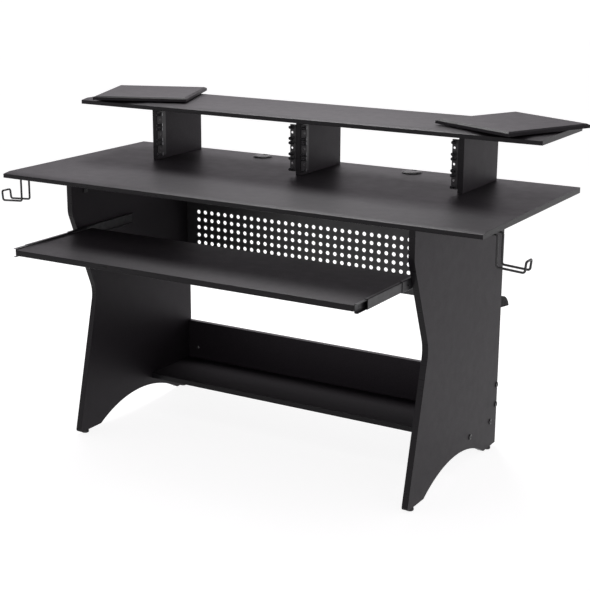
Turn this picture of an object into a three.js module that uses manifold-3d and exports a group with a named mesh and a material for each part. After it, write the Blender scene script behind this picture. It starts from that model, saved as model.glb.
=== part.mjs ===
// Studio desk: a work top on two side panels, a rack shelf above it, and a keyboard tray on slides
// Millimetres, +Z up, X along the desk and -Y towards the player
import * as THREE from "three";
import { mergeVertices } from "three/addons/utils/BufferGeometryUtils.js";
import Module from "manifold-3d";

const wasm = await Module();
wasm.setup();

// Boards and the gaps between pieces
const board = 16;
const sideBoard = 18;
const seam = 0.3;
const overrun = 4;
const weld = 0.0005;

// Desk top
const topWidth = 1500;
const topDepth = 675;
const topHeight = 785;
const bevelDepth = 27;
const bevelDrop = 4.2;

// Side panels
const topOverhang = 197.5;
const frontInset = 42.5;
const rearInset = 49.5;
const footClearance = 8.5;

// Rack shelf above the desk top
const rackPitch = 44.45;
const rackSpaces = 3;
const rackRoom = 12.325;
const rackClear = 490;
const riserDepth = 236;
const riserRearInset = 29.5;
const shelfWidth = 1500;
const shelfDepth = 300;
const shelfFrontReach = 46;

// Keyboard tray, with its pull in the pose shown
const trayDepth = 326;
const trayDrop = 143;
const trayPull = 229;
const trayRecess = 15.5;
const slideThickness = 12.7;

// Speaker platforms, toed in
const platformWidth = 290;
const platformDepth = 295;
const platformThickness = 12;
const platformInset = 149;
const platformSetback = 160;
const swivelSheet = 1.5;
const platformToeLeft = 22;
const platformToeRight = 25;

// Places worked out from the sizes above
const topUnder = topHeight - board;
const topFront = -topDepth / 2;
const topRear = topDepth / 2;
const legOuter = topWidth / 2 - topOverhang;
const legInner = legOuter - sideBoard;
const legFront = topFront + frontInset;
const legRear = topRear - rearInset;
const legTop = topUnder - seam;
const riserRear = topRear - riserRearInset;
const riserFront = riserRear - riserDepth;
const riserPitch = rackClear + board;
const shelfUnder = topHeight + rackSpaces * rackPitch + 2 * rackRoom;
const shelfTop = shelfUnder + board;
const shelfFront = riserFront - shelfFrontReach;
const sides = [
  { name: "left", way: -1 },
  { name: "right", way: 1 },
];

// Finishes
function finish(colour, roughness, metalness) {
  return new THREE.MeshStandardMaterial({ color: colour, roughness, metalness });
}
const blackBoard = finish("#2f2e30", 0.42, 0);
const blackMetal = finish("#1d1d1f", 0.38, 0.5);
const zincSteel = finish("#8f9194", 0.35, 0.9);
const blackPlastic = finish("#19191a", 0.5, 0);

const desk = new THREE.Group();

// Adds one piece to the desk, or to a group that is turned
function place(name, geometry, material, group = desk) {
  const piece = new THREE.Mesh(geometry, material.clone());
  piece.name = name;
  group.add(piece);
  return piece;
}

// Cutting and joining
function solidOf(geometry) {
  const bare = geometry.index ? geometry.toNonIndexed() : geometry.clone();
  bare.deleteAttribute("normal");
  bare.deleteAttribute("uv");
  const merged = mergeVertices(bare, weld);
  const triVerts = new Uint32Array(merged.index.array);
  const vertProperties = merged.attributes.position.array;
  return new wasm.Manifold(new wasm.Mesh({ numProp: 3, vertProperties, triVerts }));
}

function geometryOf(solid) {
  const { vertProperties, triVerts } = solid.getMesh();
  const shared = new THREE.BufferGeometry();
  shared.setAttribute("position", new THREE.BufferAttribute(vertProperties, 3));
  shared.setIndex(new THREE.BufferAttribute(triVerts, 1));
  const geometry = shared.toNonIndexed();
  geometry.computeVertexNormals();
  return geometry;
}

function cut(geometry, cutters) {
  return geometryOf(cutters.reduce((rest, cutter) => rest.subtract(solidOf(cutter)), solidOf(geometry)));
}

function join(geometries) {
  return geometryOf(geometries.map(solidOf).reduce((whole, piece) => whole.add(piece)));
}

// A block between two corners
function block(x, y, z) {
  const geometry = new THREE.BoxGeometry(x[1] - x[0], y[1] - y[0], z[1] - z[0]);
  return geometry.translate((x[0] + x[1]) / 2, (y[0] + y[1]) / 2, (z[0] + z[1]) / 2);
}

// An outline carried along X, drawn in Y and Z, or along Y, drawn in X and Z
const unitX = new THREE.Vector3(1, 0, 0);
const unitY = new THREE.Vector3(0, 1, 0);
const unitZ = new THREE.Vector3(0, 0, 1);
const arcSteps = 5;

function alongX(outline, from, to) {
  const options = { depth: to - from, bevelEnabled: false, curveSegments: arcSteps };
  const turned = new THREE.Matrix4().makeBasis(unitY, unitZ, unitX).setPosition(from, 0, 0);
  return new THREE.ExtrudeGeometry(outline, options).applyMatrix4(turned);
}

function alongY(outline, from, to) {
  const options = { depth: to - from, bevelEnabled: false, curveSegments: arcSteps };
  const turned = new THREE.Matrix4().makeBasis(unitX, unitZ, unitY.clone().negate()).setPosition(0, to, 0);
  return new THREE.ExtrudeGeometry(outline, options).applyMatrix4(turned);
}

// A round bar along X, Y or Z
function bar(axis, radius, at, from, to, facets) {
  const geometry = new THREE.CylinderGeometry(radius, radius, to - from, facets);
  const middle = (from + to) / 2;
  if (axis === "x") return geometry.rotateZ(-Math.PI / 2).translate(middle, at[0], at[1]);
  if (axis === "y") return geometry.translate(at[0], middle, at[1]);
  return geometry.rotateX(Math.PI / 2).translate(at[0], at[1], middle);
}

// A turned piece about Z, from its profile of radius and height
function turned(profile, facets) {
  const points = profile.map(([radius, height]) => new THREE.Vector2(radius, height));
  return new THREE.LatheGeometry(points, facets).rotateX(Math.PI / 2);
}

// A closed outline, straight between its points
function outlineOf(points) {
  return new THREE.Shape(points.map(([x, y]) => new THREE.Vector2(x, y)));
}

// A board's end profile, with the shallow bevel along its front edge
function bevelledBoard(front, rear, under) {
  const upper = under + board;
  const corners = [[front, under], [rear, under], [rear, upper], [front + bevelDepth, upper]];
  corners.push([front, upper - bevelDrop]);
  return outlineOf(corners);
}

// Cable grommets in the desk top
const grommetBore = 25.4;
const grommetX = 256;
const grommetRearInset = 47.5;
const grommetY = topRear - grommetRearInset;
const roundFacets = 16;

const topBlank = alongX(bevelledBoard(topFront, topRear, topUnder), -topWidth / 2, topWidth / 2);
const topCutters = sides.map(({ way }) =>
  bar("z", grommetBore, [way * grommetX, grommetY], topUnder - overrun, topHeight + overrun, roundFacets),
);
place("desk_top", cut(topBlank, topCutters), blackBoard);

const sleeveWall = 3;
const sleeveOuter = grommetBore - seam;
const sleeveInner = sleeveOuter - sleeveWall;
const sleeveDepth = board + sleeveWall;
const flangeRadius = 30.5;
const flangeHeight = 4;
const flangeTaper = 1.2;
const capLedge = 1.5;
const capSeat = 26.6;
const capClear = 0.5;
const capThickness = 3.2;
const capCrown = 0.8;
const skirtWall = 1.8;
const skirtDepth = 6;
const slotWidth = 16;
const slotInner = 9;

for (const { name, way } of sides) {
  const sleeve = turned(
    [
      [sleeveInner, -sleeveDepth],
      [sleeveOuter, -sleeveDepth],
      [sleeveOuter, seam],
      [flangeRadius, seam],
      [flangeRadius - flangeTaper, flangeHeight],
      [capSeat, flangeHeight],
      [capSeat, capLedge],
      [sleeveInner, capLedge],
      [sleeveInner, -sleeveDepth],
    ],
    roundFacets,
  );
  place("grommet_sleeve_" + name, sleeve.translate(way * grommetX, grommetY, topHeight), blackPlastic);

  // The cap turns in the sleeve and has a cable slot in its rim
  const capUnder = capLedge + seam;
  const skirtOuter = sleeveInner - capClear;
  const cap = turned(
    [
      [0, capUnder],
      [skirtOuter - skirtWall, capUnder],
      [skirtOuter - skirtWall, capUnder - skirtDepth],
      [skirtOuter, capUnder - skirtDepth],
      [skirtOuter, capUnder],
      [capSeat - capClear, capUnder],
      [capSeat - capClear, capUnder + capThickness - capCrown],
      [capSeat - capClear - capCrown, capUnder + capThickness],
      [0, capUnder + capThickness],
    ],
    roundFacets,
  );
  const slotHeights = [capUnder - skirtDepth - overrun, capUnder + capThickness + overrun];
  const slot = block([-slotWidth / 2, slotWidth / 2], [slotInner, capSeat + overrun], slotHeights);
  const slotted = cut(cap, [slot]).translate(way * grommetX, grommetY, topHeight);
  place("grommet_cap_" + name, slotted, blackPlastic);
}

// Lower shelf and lower back panel between the side panels
const lowerShelfUnder = 79;
const lowerShelfDepth = 206.7;
const backPanelHeight = 141;
const backPanelFront = legRear - board;
const lowerShelfRear = backPanelFront - seam;
const lowerShelfFront = lowerShelfRear - lowerShelfDepth;
const boardEnd = legInner - seam;
const cableHoleRadius = 6;
const cableHoleInset = 35;
const cableHoleRise = 52;
const smallFacets = 8;

// Connector bolts through the side panels into the ends of those boards
const boltRadius = 3.5;
const boltLength = 50;
const boltHeadRadius = 8.5;
const boltHeadHeight = 2.6;
const boltEdge = 2;
const socketRadius = 2.4;
const socketDepth = 1.6;
const boltBore = boltRadius + seam;
const shelfBoltFront = 34.5;
const shelfBoltRear = 28.5;
const backBoltLow = 51;
const backBoltHigh = 30;
const shelfBoltHeight = lowerShelfUnder + board / 2;
const backBoltDepth = backPanelFront + board / 2;
const boltPlaces = [
  { name: "shelf_front", at: [lowerShelfFront + shelfBoltFront, shelfBoltHeight] },
  { name: "shelf_rear", at: [lowerShelfRear - shelfBoltRear, shelfBoltHeight] },
  { name: "back_lower", at: [backBoltDepth, lowerShelfUnder + backBoltLow] },
  { name: "back_upper", at: [backBoltDepth, lowerShelfUnder + backPanelHeight - backBoltHigh] },
];

// The bores for those bolts, from the outer face of each side panel inwards
function boltBores() {
  const reach = legOuter - boltLength - overrun;
  return boltPlaces.flatMap(({ at }) => [
    bar("x", boltBore, at, reach, legOuter + overrun, smallFacets),
    bar("x", boltBore, at, -legOuter - overrun, -reach, smallFacets),
  ]);
}

const lowerShelfHeights = [lowerShelfUnder, lowerShelfUnder + board];
const lowerShelf = block([-boardEnd, boardEnd], [lowerShelfFront, lowerShelfRear], lowerShelfHeights);
place("lower_shelf", cut(lowerShelf, boltBores()), blackBoard);

const backPanelHeights = [lowerShelfUnder, lowerShelfUnder + backPanelHeight];
const backPanel = block([-boardEnd, boardEnd], [backPanelFront, legRear], backPanelHeights);
const cableHoles = sides.map(({ way }) => {
  const at = [way * (legInner - cableHoleInset), lowerShelfUnder + cableHoleRise];
  return bar("y", cableHoleRadius, at, backPanelFront - overrun, legRear + overrun, smallFacets);
});
place("lower_back_panel", cut(backPanel, [...boltBores(), ...cableHoles]), blackBoard);

for (const { name, way } of sides) {
  for (const { name: spot, at } of boltPlaces) {
    const bolt = turned(
      [
        [0, -boltLength],
        [boltRadius, -boltLength],
        [boltRadius, seam],
        [boltHeadRadius, seam],
        [boltHeadRadius, seam + boltEdge / 2],
        [boltHeadRadius - boltEdge, seam + boltHeadHeight],
        [socketRadius, seam + boltHeadHeight],
        [socketRadius, seam + boltHeadHeight - socketDepth],
        [0, seam + boltHeadHeight - socketDepth],
      ],
      smallFacets,
    );
    bolt.rotateY((way * Math.PI) / 2).translate(way * legOuter, at[0], at[1]);
    place("bolt_" + spot + "_" + name, bolt, blackMetal);
  }
}

// Perforated panel: sheet steel folded back along its four edges, between the side panels at the rear
const panelSheet = 1.5;
const panelFold = 15;
const panelGap = 114;
const panelHeight = 233;
const punchMargin = 40;
const punchRows = 5;
const punchPitch = 25;
const punchColumns = Math.floor((2 * (boardEnd - punchMargin)) / punchPitch) + 1;
const punchRadius = 6.4;
const punchFacets = 7;
const panelUpper = topUnder - panelGap;
const panelLower = panelUpper - panelHeight;
const panelMiddle = (panelUpper + panelLower) / 2;

const panelOutline = outlineOf([
  [-boardEnd, panelLower],
  [boardEnd, panelLower],
  [boardEnd, panelUpper],
  [-boardEnd, panelUpper],
]);
for (let row = 0; row < punchRows; row++) {
  for (let column = 0; column < punchColumns; column++) {
    const x = (column - (punchColumns - 1) / 2) * punchPitch;
    const z = panelMiddle + ((punchRows - 1) / 2 - row) * punchPitch;
    const hole = new THREE.Path();
    for (let corner = 0; corner < punchFacets; corner++) {
      const angle = (corner / punchFacets) * 2 * Math.PI;
      const point = [x + punchRadius * Math.cos(angle), z + punchRadius * Math.sin(angle)];
      if (corner === 0) hole.moveTo(...point);
      else hole.lineTo(...point);
    }
    hole.closePath();
    panelOutline.holes.push(hole);
  }
}
const foldDepths = [backPanelFront, backPanelFront + panelFold];
const foldHeights = [panelLower, panelUpper];
const panelFolds = [
  block([-boardEnd, boardEnd], foldDepths, [panelUpper - panelSheet, panelUpper]),
  block([-boardEnd, boardEnd], foldDepths, [panelLower, panelLower + panelSheet]),
  block([-boardEnd, -boardEnd + panelSheet], foldDepths, foldHeights),
  block([boardEnd - panelSheet, boardEnd], foldDepths, foldHeights),
];
const panelFace = alongY(panelOutline, backPanelFront, backPanelFront + panelSheet);
place("perforated_panel", join([panelFace, ...panelFolds]), blackMetal);

// Side panels: waisted front edge, arched foot
const kneeHeight = 678;
const kneeRadius = 60;
const waistHeight = 426;
const waistDepth = 100;
const waistRadius = 90;
const toeReach = 2;
const toeRadius = 9;
const toeLength = 97;
const heelLength = 85;
const archRise = 54.5;
const archFront = legFront + toeLength;
const archRear = legRear - heelLength;

// Runs a path to the next corner and round it
function roundCorner(path, before, corner, after, radius) {
  const here = new THREE.Vector2(...corner);
  const back = new THREE.Vector2(...before).sub(here).normalize();
  const ahead = new THREE.Vector2(...after).sub(here).normalize();
  const half = Math.acos(back.dot(ahead)) / 2;
  const enter = here.clone().addScaledVector(back, radius / Math.tan(half));
  const leave = here.clone().addScaledVector(ahead, radius / Math.tan(half));
  const centre = here.clone().addScaledVector(back.clone().add(ahead).normalize(), radius / Math.sin(half));
  const start = Math.atan2(enter.y - centre.y, enter.x - centre.x);
  const end = Math.atan2(leave.y - centre.y, leave.x - centre.x);
  path.lineTo(enter.x, enter.y);
  path.absarc(centre.x, centre.y, radius, start, end, back.cross(ahead) > 0);
}

function sideOutline() {
  const rearFoot = [legRear, footClearance];
  const rearTop = [legRear, legTop];
  const frontTop = [legFront, legTop];
  const knee = [legFront, kneeHeight];
  const waist = [legFront + waistDepth, waistHeight];
  const toe = [legFront - toeReach, footClearance];
  const archStart = [archFront, footClearance];
  const path = new THREE.Shape();
  path.moveTo(...rearFoot);
  path.lineTo(...rearTop);
  path.lineTo(...frontTop);
  roundCorner(path, frontTop, knee, waist, kneeRadius);
  roundCorner(path, knee, waist, toe, waistRadius);
  roundCorner(path, waist, toe, archStart, toeRadius);
  path.lineTo(...archStart);
  const halfSpan = (archRear - archFront) / 2;
  const archRadius = (halfSpan ** 2 + archRise ** 2) / (2 * archRise);
  const centreZ = footClearance + archRise - archRadius;
  const spread = Math.asin(halfSpan / archRadius);
  const middle = (archFront + archRear) / 2;
  path.absarc(middle, centreZ, archRadius, Math.PI / 2 + spread, Math.PI / 2 - spread, true);
  return path;
}

// Floor glides under the side panels, each on a pin driven into the board
const glideRadius = 11;
const glideChamfer = 2;
const glidePin = 3;
const glidePinLength = 16;
const glideFront = 33.5;
const glideRear = 40;
const glideFacets = 12;
const glidePlaces = [
  { spot: "front", y: legFront + glideFront },
  { spot: "rear", y: legRear - glideRear },
];
const legMiddle = (legOuter + legInner) / 2;

for (const { name, way } of sides) {
  const faces = [way * legInner, way * legOuter].sort((a, b) => a - b);
  const blank = alongX(sideOutline(), faces[0], faces[1]);
  const pinBores = glidePlaces.map(({ y }) => {
    const depths = [footClearance - overrun, footClearance + glidePinLength + seam];
    return bar("z", glidePin + seam, [way * legMiddle, y], depths[0], depths[1], glideFacets);
  });
  place("side_panel_" + name, cut(blank, [...boltBores(), ...pinBores]), blackBoard);

  for (const { spot, y } of glidePlaces) {
    const glide = turned(
      [
        [0, 0],
        [glideRadius - glideChamfer, 0],
        [glideRadius, glideChamfer],
        [glideRadius, footClearance - seam],
        [glidePin, footClearance - seam],
        [glidePin, footClearance + glidePinLength],
        [0, footClearance + glidePinLength],
      ],
      glideFacets,
    );
    place("glide_" + spot + "_" + name, glide.translate(way * legMiddle, y, 0), blackPlastic);
  }
}

// Angle brackets between the side panels and the desk top
const bracketLeaf = 38;
const bracketSheet = 2;
const bracketWidth = 18;
const bracketFront = 64;
const bracketRear = 57;
const screwHole = 2.3;
const screwShare = 2 / 3;
const bracketPlaces = [
  { spot: "front", y: legFront + bracketFront },
  { spot: "rear", y: legRear - bracketRear },
];

for (const { name, way } of sides) {
  for (const { spot, y } of bracketPlaces) {
    const wall = legInner - seam;
    const lid = topUnder - seam;
    const angle = outlineOf([
      [way * wall, lid],
      [way * wall, lid - bracketLeaf],
      [way * (wall - bracketSheet), lid - bracketLeaf],
      [way * (wall - bracketSheet), lid - bracketSheet],
      [way * (wall - bracketLeaf), lid - bracketSheet],
      [way * (wall - bracketLeaf), lid],
    ]);
    const blank = alongY(angle, y - bracketWidth / 2, y + bracketWidth / 2);
    const across = [way * (wall + seam), way * (wall - bracketSheet - overrun)].sort((a, b) => a - b);
    const low = bar("x", screwHole, [y, lid - screwShare * bracketLeaf], across[0], across[1], smallFacets);
    const upX = way * (wall - screwShare * bracketLeaf);
    const up = bar("z", screwHole, [upX, y], lid - bracketSheet - overrun, lid + seam / 2, smallFacets);
    place("angle_bracket_" + spot + "_" + name, cut(blank, [low, up]), blackMetal);
  }
}

// Wall bumpers on the rear edges of the side panels
const bumperReach = 62;
const bumperRise = 33;
const bumperSag = 8;
const bumperDrop = 1;
const bumperUnder = panelLower - bumperDrop;
const bumperWidth = 16;
const bulgeOut = 0.8;
const bulgeUp = 0.9;

for (const { name, way } of sides) {
  const face = legRear + seam;
  const quarter = new THREE.Shape();
  const bulge = [face + bulgeOut * bumperReach, bumperUnder + bulgeUp * bumperRise];
  quarter.moveTo(face, bumperUnder);
  quarter.lineTo(face + bumperReach, bumperUnder - bumperSag);
  quarter.quadraticCurveTo(...bulge, face, bumperUnder + bumperRise);
  quarter.lineTo(face, bumperUnder);
  const from = way * legMiddle - bumperWidth / 2;
  place("wall_bumper_" + name, alongX(quarter, from, from + bumperWidth), blackPlastic);
}

// Risers and the top shelf
const riserPlaces = [
  { name: "left", x: -riserPitch },
  { name: "centre", x: 0 },
  { name: "right", x: riserPitch },
];
for (const { name, x } of riserPlaces) {
  const heights = [topHeight + seam, shelfUnder - seam];
  const riser = block([x - board / 2, x + board / 2], [riserFront, riserRear], heights);
  place("riser_" + name, riser, blackBoard);
}
const shelfOutline = bevelledBoard(shelfFront, shelfFront + shelfDepth, shelfUnder);
place("top_shelf", alongX(shelfOutline, -shelfWidth / 2, shelfWidth / 2), blackBoard);

// Rack rails on the riser faces, with the rack screws in them
const railSheet = 2;
const railFlange = 19;
const railDepth = 42;
const rackScrewInset = 12.45;
const rackHoleRadius = 3.4;
const rackHoleShares = [1 / 7, 1 / 2, 6 / 7];
const openHoleShare = 1 / 2;
const railOverlap = 1.2;
const washerRadius = 6.4;
const washerHeight = 2;
const screwShankRadius = 3;
const screwShankLength = 8;
const screwHeadRadius = 4.6;
const screwHeadHeight = 5.5;
const screwCrownShare = 3 / 5;
const screwFacets = 6;

const rackLow = topHeight + rackRoom;
const rackHigh = rackLow + rackSpaces * rackPitch;
const rackHeights = [];
for (let unit = 0; unit < rackSpaces; unit++) {
  for (const share of rackHoleShares) {
    const z = rackLow + (unit + share) * rackPitch;
    rackHeights.push({ z, open: share === openHoleShare });
  }
}

function rackRail(face, way) {
  const railX = [face + way * seam, face + way * railFlange].sort((a, b) => a - b);
  const wallX = [face + way * seam, face + way * (seam + railSheet)].sort((a, b) => a - b);
  const heights = [rackLow - railOverlap, rackHigh + railOverlap];
  const holeX = face + way * rackScrewInset;
  const flange = outlineOf([
    [railX[0], heights[0]],
    [railX[1], heights[0]],
    [railX[1], heights[1]],
    [railX[0], heights[1]],
  ]);
  const screws = [];
  for (const { z, open } of rackHeights) {
    if (open) {
      const hole = new THREE.Path();
      hole.absarc(holeX, z, rackHoleRadius, 0, 2 * Math.PI, true);
      flange.holes.push(hole);
    } else {
      const headUnder = washerHeight + screwShankLength;
      const screw = turned(
        [
          [0, -railSheet / 2],
          [washerRadius, -railSheet / 2],
          [washerRadius, washerHeight],
          [screwShankRadius, washerHeight],
          [screwShankRadius, headUnder],
          [screwHeadRadius, headUnder],
          [screwCrownShare * screwHeadRadius, headUnder + screwHeadHeight],
          [0, headUnder + screwHeadHeight],
        ],
        screwFacets,
      );
      screws.push(screw.rotateX(Math.PI / 2).translate(holeX, riserFront, z));
    }
  }
  const web = block(wallX, [riserFront, riserFront + railDepth], heights);
  return join([alongY(flange, riserFront, riserFront + railSheet), web, ...screws]);
}

const railPlaces = [
  { name: "left_bay_left", x: -riserPitch, way: 1 },
  { name: "left_bay_right", x: 0, way: -1 },
  { name: "right_bay_left", x: 0, way: 1 },
  { name: "right_bay_right", x: riserPitch, way: -1 },
];
for (const { name, x, way } of railPlaces) {
  place("rack_rail_" + name, rackRail(x + (way * board) / 2, way), blackMetal);
}

// Speaker platforms on swivel plates, each turned about its centre pin
const platformX = shelfWidth / 2 - platformInset;
const platformY = shelfFront + platformSetback;
const platformLift = 3 * seam + 2 * swivelSheet;
const platformFace = 8.2;
const platformChamfer = 8;
const swivelRadius = 75;
const swivelPin = 8;
const pinClear = 0.3;
const pinRise = 5;

// A slab with a square lower edge and a chamfer round its upper edge
function chamferedSlab(width, depth, thickness, face, chamfer) {
  const corners = [[-1, -1], [1, -1], [1, 1], [-1, 1]];
  const levels = [
    { z: 0, inset: 0 },
    { z: face, inset: 0 },
    { z: thickness, inset: chamfer },
  ];
  const points = levels.flatMap(({ z, inset }) =>
    corners.map(([x, y]) => [x * (width / 2 - inset), y * (depth / 2 - inset), z]),
  );
  const faces = [0, 2, 1, 0, 3, 2];
  for (let level = 0; level < 2; level++) {
    const low = level * corners.length;
    const high = low + corners.length;
    for (let side = 0; side < corners.length; side++) {
      const next = (side + 1) % corners.length;
      faces.push(low + side, low + next, high + next, low + side, high + next, high + side);
    }
  }
  faces.push(8, 9, 10, 8, 10, 11);
  const geometry = new THREE.BufferGeometry();
  geometry.setAttribute("position", new THREE.Float32BufferAttribute(points.flat(), 3));
  geometry.setIndex(faces);
  return geometry;
}

const toes = { left: platformToeLeft, right: -platformToeRight };
for (const { name, way } of sides) {
  const swivel = new THREE.Group();
  swivel.position.set(way * platformX, platformY, shelfTop);
  swivel.rotation.z = THREE.MathUtils.degToRad(toes[name]);
  desk.add(swivel);

  const base = turned(
    [
      [0, seam],
      [swivelRadius, seam],
      [swivelRadius, seam + swivelSheet],
      [swivelPin, seam + swivelSheet],
      [swivelPin, platformLift + pinRise],
      [0, platformLift + pinRise],
    ],
    roundFacets,
  );
  place("swivel_base_" + name, base, zincSteel, swivel);

  const plateUnder = seam + swivelSheet + seam;
  const plate = turned(
    [
      [swivelPin + pinClear, plateUnder],
      [swivelRadius, plateUnder],
      [swivelRadius, plateUnder + swivelSheet],
      [swivelPin + pinClear, plateUnder + swivelSheet],
      [swivelPin + pinClear, plateUnder],
    ],
    roundFacets,
  );
  place("swivel_plate_" + name, plate, zincSteel, swivel);

  const slab = chamferedSlab(platformWidth, platformDepth, platformThickness, platformFace, platformChamfer);
  const pinBore = bar("z", swivelPin + pinClear, [0, 0], -overrun, pinRise + seam, roundFacets);
  const platform = cut(slab, [pinBore]).translate(0, 0, platformLift);
  place("speaker_platform_" + name, platform, blackBoard, swivel);
}

// Keyboard tray and its telescopic slides, in the pulled-out pose
const slideGap = 0.3;
const trayWidth = 2 * (legInner - slideThickness - slideGap);
const trayUpper = topUnder - trayDrop;
const trayFront = topFront + trayRecess - trayPull;
const trayHeights = [trayUpper - board, trayUpper];
const trayBoard = block([-trayWidth / 2, trayWidth / 2], [trayFront, trayFront + trayDepth], trayHeights);
place("keyboard_tray", trayBoard, blackBoard);

const slideLength = 300;
const slideHeight = 30;
const slideDrop = 1;
const slideSetback = 3;
const middleShare = 0.79;
const slideSheet = 1.2;
const slideRun = 0.4;
const outerReach = 9;
const middleReach = 10.6;
const innerReach = 9.2;
const slideAxis = trayUpper - board / 2 - slideDrop;
const slideClosed = topFront + trayRecess + slideSetback;
const middlePull = middleShare * trayPull;

// A channel whose web lies at one distance from the side panel and whose lips reach to another
function channel(way, web, lips, halfHeight) {
  const inward = Math.sign(lips - web);
  const at = (distance, height) => [way * (legInner - distance), slideAxis + height];
  return outlineOf([
    at(web, -halfHeight),
    at(lips, -halfHeight),
    at(lips, -halfHeight + slideSheet),
    at(web + inward * slideSheet, -halfHeight + slideSheet),
    at(web + inward * slideSheet, halfHeight - slideSheet),
    at(lips, halfHeight - slideSheet),
    at(lips, halfHeight),
    at(web, halfHeight),
  ]);
}

const outerHalf = slideHeight / 2;
const middleHalf = outerHalf - slideSheet - slideRun;
const innerHalf = middleHalf - slideSheet - slideRun;
for (const { name, way } of sides) {
  const middleWeb = seam + slideSheet + slideRun;
  const innerTip = slideThickness - innerReach;
  const members = [
    { member: "outer", shape: channel(way, seam, outerReach, outerHalf), pull: 0 },
    { member: "middle", shape: channel(way, middleWeb, middleReach, middleHalf), pull: middlePull },
    { member: "inner", shape: channel(way, slideThickness, innerTip, innerHalf), pull: trayPull },
  ];
  for (const { member, shape, pull } of members) {
    const front = slideClosed - pull;
    place("slide_" + member + "_" + name, alongY(shape, front, front + slideLength), blackMetal);
  }
}

// Headphone hooks: one bent wire each, strapped under the end of the desk top
const wireRadius = 3;
const wireFacets = 6;
const wireBend = 6;
const bendSteps = 2;
const hookInset = 96.5;
const hookY = topFront + hookInset;
const hookSpread = 35.5;
const hookStandOff = 5;
const hookTail = 40;
const hookDrop = 80;
const hookFall = 5;
const hookReach = 76;
const hookTip = 28;
const hookLean = 3;
const strapSheet = 1.6;
const strapWidth = 14;
const strapTab = 12;
const strapInset = 24;

// A polyline that a section can follow, with one ring at each of its points
class KnotPath extends THREE.Curve {
  constructor(knots) {
    super();
    this.knots = knots;
  }
  getUtoTmapping(u) {
    return u;
  }
  getPoint(t) {
    const at = t * (this.knots.length - 1);
    const index = Math.min(Math.floor(at), this.knots.length - 2);
    return this.knots[index].clone().lerp(this.knots[index + 1], at - index);
  }
  getTangent(t) {
    const last = this.knots.length - 1;
    const index = Math.round(t * last);
    const before = this.knots[Math.max(index - 1, 0)];
    const here = this.knots[index];
    const after = this.knots[Math.min(index + 1, last)];
    const ways = [here.clone().sub(before).normalize(), after.clone().sub(here).normalize()];
    return ways[0].add(ways[1]).normalize();
  }
}

// The knots of a bent wire: straight runs between corners, each corner rounded
function bentKnots(corners, bend) {
  const knots = [corners[0]];
  for (let i = 1; i < corners.length - 1; i++) {
    const back = corners[i - 1].clone().sub(corners[i]).normalize();
    const ahead = corners[i + 1].clone().sub(corners[i]).normalize();
    const enter = corners[i].clone().addScaledVector(back, bend);
    const leave = corners[i].clone().addScaledVector(ahead, bend);
    const curve = new THREE.QuadraticBezierCurve3(enter, corners[i], leave);
    knots.push(...curve.getPoints(bendSteps));
  }
  knots.push(corners[corners.length - 1]);
  return knots;
}

const wireSection = new THREE.Shape();
for (let corner = 0; corner < wireFacets; corner++) {
  const angle = (corner / wireFacets) * 2 * Math.PI;
  const point = [wireRadius * Math.cos(angle), wireRadius * Math.sin(angle)];
  if (corner === 0) wireSection.moveTo(...point);
  else wireSection.lineTo(...point);
}
wireSection.closePath();

for (const { name, way } of sides) {
  const edge = topWidth / 2 + hookStandOff;
  const high = topUnder - seam - wireRadius;
  const cradle = high - hookDrop;
  const low = cradle - hookFall;
  const half = hookSpread / 2;
  const run = [
    [edge - hookTail, half, high],
    [edge, half, high],
    [edge, half, cradle],
    [edge + hookReach - hookLean, half, low],
    [edge + hookReach, half, low + hookTip],
  ];
  const outward = run.map(([x, y, z]) => new THREE.Vector3(way * x, hookY - y, z));
  const homeward = run.map(([x, y, z]) => new THREE.Vector3(way * x, hookY + y, z)).reverse();
  const knots = bentKnots([...outward, ...homeward], wireBend);
  const wire = new THREE.ExtrudeGeometry(wireSection, {
    steps: knots.length - 1,
    bevelEnabled: false,
    extrudePath: new KnotPath(knots),
  });
  place("headphone_hook_" + name, wire, blackMetal);

  const lid = topUnder - seam;
  const drop = 2 * wireRadius + seam;
  const inner = half + wireRadius + seam;
  const strap = outlineOf([
    [hookY - inner - strapTab, lid],
    [hookY - inner - strapTab, lid - strapSheet],
    [hookY - inner - strapSheet, lid - strapSheet],
    [hookY - inner - strapSheet, lid - drop - strapSheet],
    [hookY + inner + strapSheet, lid - drop - strapSheet],
    [hookY + inner + strapSheet, lid - strapSheet],
    [hookY + inner + strapTab, lid - strapSheet],
    [hookY + inner + strapTab, lid],
    [hookY + inner, lid],
    [hookY + inner, lid - drop],
    [hookY - inner, lid - drop],
    [hookY - inner, lid],
  ]);
  const middle = way * (topWidth / 2 - strapInset);
  place("hook_strap_" + name, alongX(strap, middle - strapWidth / 2, middle + strapWidth / 2), blackMetal);
}

// The origin lies on the floor under the middle of the whole part's length and depth
const toeIn = THREE.MathUtils.degToRad(platformToeRight);
const platformRear = platformY + (platformWidth * Math.sin(toeIn) + platformDepth * Math.cos(toeIn)) / 2;
desk.position.y = -(trayFront + platformRear) / 2;

const part = new THREE.Group();
part.add(desk);
export default part;
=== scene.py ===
import bmesh
import bpy
import math
from mathutils import Matrix, Vector


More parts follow.
